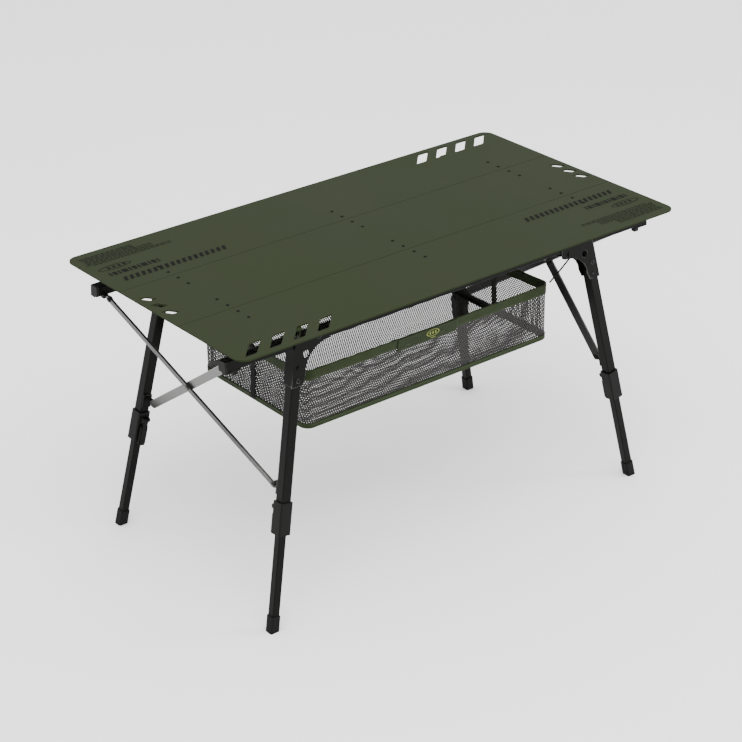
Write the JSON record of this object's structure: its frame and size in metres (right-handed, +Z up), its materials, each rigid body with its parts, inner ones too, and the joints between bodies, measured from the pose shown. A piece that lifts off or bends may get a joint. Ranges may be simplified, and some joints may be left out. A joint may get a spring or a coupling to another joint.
{
  "type": "folding camp table",
  "caption": "Low folding camp table: hinged sheet-metal top on side rails, splayed telescopic legs, crossed end braces and a hanging net tray.",
  "frame": {"origin": "on the ground under the centre of the tabletop", "axes": "+X along the table's length, -Y the front long edge, +Z up"},
  "size_m": [1.03, 0.55, 0.5732],
  "materials": {
    "olive_sheet": "olive satin powder coat",
    "black_frame": "near-black satin powder coat",
    "black_plastic": "matt black",
    "rubber_foot": "matt black",
    "grey_bar": "dark metallic grey",
    "steel_pin": "dull",
    "net": "open mesh, grey-beige",
    "olive_binding": "woven webbing",
    "black_cord": "braided"
  },
  "bodies": {
    "middle": {"panel_middle": "olive_sheet", "tray_net": "net", "tray_binding": "olive_binding", "tray_cord_front_left": "black_cord", "tray_cord_front_right": "black_cord", "tray_cord_rear_left": "black_cord", "tray_cord_rear_right": "black_cord", "hinge_pin_front_left": "steel_pin", "hinge_pin_front_middle": "steel_pin", "hinge_pin_front_right": "steel_pin", "hinge_pin_rear_left": "steel_pin", "hinge_pin_rear_middle": "steel_pin", "hinge_pin_rear_right": "steel_pin"},
    "front_panel": {"panel_front": "olive_sheet"},
    "rear_panel": {"panel_rear": "olive_sheet"},
    "front_rail": {"rail_front": "black_frame", "rail_cap_front_left": "black_plastic", "rail_cap_front_right": "black_plastic"},
    "rear_rail": {"rail_rear": "black_frame", "rail_cap_rear_left": "black_plastic", "rail_cap_rear_right": "black_plastic"},
    "leg_front_left": {"leg_bracket_front_left": "black_frame", "leg_outer_front_left": "black_frame", "collar_front_left": "black_plastic", "clevis_front_left": "black_frame"},
    "inner_front_left": {"leg_inner_front_left": "black_frame", "foot_front_left": "rubber_foot"},
    "lever_front_left": {"lever_front_left": "black_plastic"},
    "leg_front_right": {"leg_bracket_front_right": "black_frame", "leg_outer_front_right": "black_frame", "collar_front_right": "black_plastic", "clevis_front_right": "black_frame"},
    "inner_front_right": {"leg_inner_front_right": "black_frame", "foot_front_right": "rubber_foot"},
    "lever_front_right": {"lever_front_right": "black_plastic"},
    "leg_rear_left": {"leg_bracket_rear_left": "black_frame", "leg_outer_rear_left": "black_frame", "collar_rear_left": "black_plastic", "clevis_rear_left": "black_frame"},
    "inner_rear_left": {"leg_inner_rear_left": "black_frame", "foot_rear_left": "rubber_foot"},
    "lever_rear_left": {"lever_rear_left": "black_plastic"},
    "leg_rear_right": {"leg_bracket_rear_right": "black_frame", "leg_outer_rear_right": "black_frame", "collar_rear_right": "black_plastic", "clevis_rear_right": "black_frame"},
    "inner_rear_right": {"leg_inner_rear_right": "black_frame", "foot_rear_right": "rubber_foot"},
    "lever_rear_right": {"lever_rear_right": "black_plastic"},
    "swivel_rear_left": {"swivel_rear_left": "black_plastic"},
    "bar_to_front_left": {"brace_bar_to_front_left": "grey_bar"},
    "swivel_front_left": {"swivel_front_left": "black_plastic"},
    "bar_to_rear_left": {"brace_bar_to_rear_left": "grey_bar", "brace_rivet_left": "steel_pin"},
    "swivel_rear_right": {"swivel_rear_right": "black_plastic"},
    "bar_to_front_right": {"brace_bar_to_front_right": "grey_bar"},
    "swivel_front_right": {"swivel_front_right": "black_plastic"},
    "bar_to_rear_right": {"brace_bar_to_rear_right": "grey_bar", "brace_rivet_right": "steel_pin"}
  },
  "joints": [
    {"name": "fold", "type": "hinge", "parent": "middle", "child": "front_panel", "pos_m": [0, -0.0917, 0.566], "axis": [1, 0, 0], "range_deg": [0, 36], "deforming": ["tray_net", "tray_binding", "tray_cord_front_left", "tray_cord_front_right", "tray_cord_rear_left", "tray_cord_rear_right"]},
    {"name": "rear_panel_fold", "type": "hinge", "parent": "middle", "child": "rear_panel", "pos_m": [0, 0.0917, 0.566], "axis": [-1, 0, 0], "range_deg": [0, 36]},
    {"name": "front_rail_turn", "type": "hinge", "parent": "front_panel", "child": "front_rail", "pos_m": [0, -0.22, 0.552], "axis": [-1, 0, 0], "range_deg": [0, 36]},
    {"name": "rear_rail_turn", "type": "hinge", "parent": "rear_panel", "child": "rear_rail", "pos_m": [0, 0.22, 0.552], "axis": [1, 0, 0], "range_deg": [0, 36]},
    {"name": "leg_fold_front_left", "type": "hinge", "parent": "front_rail", "child": "leg_front_left", "pos_m": [-0.305, -0.2, 0.532], "axis": [0, -0.996, 0.0889], "range_deg": [0, 26.19]},
    {"name": "leg_height_front_left", "type": "slide", "parent": "leg_front_left", "child": "inner_front_left", "axis": [0.1965, 0.0872, 0.9766], "range_m": [0, 0.15]},
    {"name": "collar_lever_front_left", "type": "hinge", "parent": "leg_front_left", "child": "lever_front_left", "pos_m": [-0.40394, -0.20961, 0.2275], "axis": [0.9805, -0.0175, -0.1957], "range_deg": [0, 100]},
    {"name": "leg_fold_front_right", "type": "hinge", "parent": "front_rail", "child": "leg_front_right", "pos_m": [0.2955, -0.20142, 0.51606], "axis": [0, 0.996, -0.0889], "range_deg": [0, 25.66]},
    {"name": "leg_height_front_right", "type": "slide", "parent": "leg_front_right", "child": "inner_front_right", "axis": [-0.1965, 0.0872, 0.9766], "range_m": [0, 0.15]},
    {"name": "collar_lever_front_right", "type": "hinge", "parent": "leg_front_right", "child": "lever_front_right", "pos_m": [0.40394, -0.20961, 0.2275], "axis": [0.9805, 0.0175, 0.1957], "range_deg": [0, 100]},
    {"name": "leg_fold_rear_left", "type": "hinge", "parent": "rear_rail", "child": "leg_rear_left", "pos_m": [-0.305, 0.2, 0.532], "axis": [0, -0.996, -0.0889], "range_deg": [0, 26.19]},
    {"name": "leg_height_rear_left", "type": "slide", "parent": "leg_rear_left", "child": "inner_rear_left", "axis": [0.1965, -0.0872, 0.9766], "range_m": [0, 0.15]},
    {"name": "collar_lever_rear_left", "type": "hinge", "parent": "leg_rear_left", "child": "lever_rear_left", "pos_m": [-0.40394, 0.20961, 0.2275], "axis": [-0.9805, -0.0175, 0.1957], "range_deg": [0, 100]},
    {"name": "leg_fold_rear_right", "type": "hinge", "parent": "rear_rail", "child": "leg_rear_right", "pos_m": [0.2955, 0.20142, 0.51606], "axis": [0, 0.996, 0.0889], "range_deg": [0, 25.66]},
    {"name": "leg_height_rear_right", "type": "slide", "parent": "leg_rear_right", "child": "inner_rear_right", "axis": [-0.1965, -0.0872, 0.9766], "range_m": [0, 0.15]},
    {"name": "collar_lever_rear_right", "type": "hinge", "parent": "leg_rear_right", "child": "lever_rear_right", "pos_m": [0.40394, 0.20961, 0.2275], "axis": [-0.9805, 0.0175, -0.1957], "range_deg": [0, 100]},
    {"name": "swivel_turn_rear_left", "type": "hinge", "parent": "rear_rail", "child": "swivel_rear_left", "pos_m": [-0.48, 0.181, 0.5165], "axis": [0, -1, 0], "range_deg": [0, 20.12]},
    {"name": "bar_turn_front_left", "type": "hinge", "parent": "swivel_rear_left", "child": "bar_to_front_left", "pos_m": [-0.48, 0.181, 0.5165], "axis": [0.9496, 0, 0.3135], "range_deg": [0, 12.12]},
    {"name": "swivel_turn_front_left", "type": "hinge", "parent": "front_rail", "child": "swivel_front_left", "pos_m": [-0.48, -0.181, 0.5165], "axis": [0, -1, 0], "range_deg": [0, 20.12]},
    {"name": "bar_turn_rear_left", "type": "hinge", "parent": "swivel_front_left", "child": "bar_to_rear_left", "pos_m": [-0.48, -0.181, 0.5165], "axis": [-0.9496, 0, -0.3135], "range_deg": [0, 12.12]},
    {"name": "swivel_turn_rear_right", "type": "hinge", "parent": "rear_rail", "child": "swivel_rear_right", "pos_m": [0.48, 0.181, 0.5165], "axis": [0, 1, 0], "range_deg": [0, 18.35]},
    {"name": "bar_turn_front_right", "type": "hinge", "parent": "swivel_rear_right", "child": "bar_to_front_right", "pos_m": [0.48, 0.181, 0.5165], "axis": [0.9496, 0, -0.3135], "range_deg": [0, 12.03]},
    {"name": "swivel_turn_front_right", "type": "hinge", "parent": "front_rail", "child": "swivel_front_right", "pos_m": [0.48, -0.181, 0.5165], "axis": [0, 1, 0], "range_deg": [0, 18.35]},
    {"name": "bar_turn_rear_right", "type": "hinge", "parent": "swivel_front_right", "child": "bar_to_rear_right", "pos_m": [0.48, -0.181, 0.5165], "axis": [-0.9496, 0, 0.3135], "range_deg": [0, 12.03]}
  ],
  "couplings": [
    {"joint": "rear_panel_fold", "follows": "fold", "ratio": 1},
    {"joint": "front_rail_turn", "follows": "fold", "ratio": 1},
    {"joint": "rear_rail_turn", "follows": "fold", "ratio": 1},
    {"joint": "leg_fold_front_left", "follows": "fold", "ratio": 0.72754},
    {"joint": "leg_fold_front_right", "follows": "fold", "ratio": 0.71268},
    {"joint": "leg_fold_rear_left", "follows": "fold", "ratio": 0.72754},
    {"joint": "leg_fold_rear_right", "follows": "fold", "ratio": 0.71268},
    {"joint": "swivel_turn_rear_left", "follows": "fold", "ratio": 0.55902},
    {"joint": "bar_turn_front_left", "follows": "fold", "ratio": 0.33673},
    {"joint": "swivel_turn_front_left", "follows": "fold", "ratio": 0.55902},
    {"joint": "bar_turn_rear_left", "follows": "fold", "ratio": 0.33673},
    {"joint": "swivel_turn_rear_right", "follows": "fold", "ratio": 0.50985},
    {"joint": "bar_turn_front_right", "follows": "fold", "ratio": 0.33422},
    {"joint": "swivel_turn_front_right", "follows": "fold", "ratio": 0.50985},
    {"joint": "bar_turn_rear_right", "follows": "fold", "ratio": 0.33422}
  ]
}
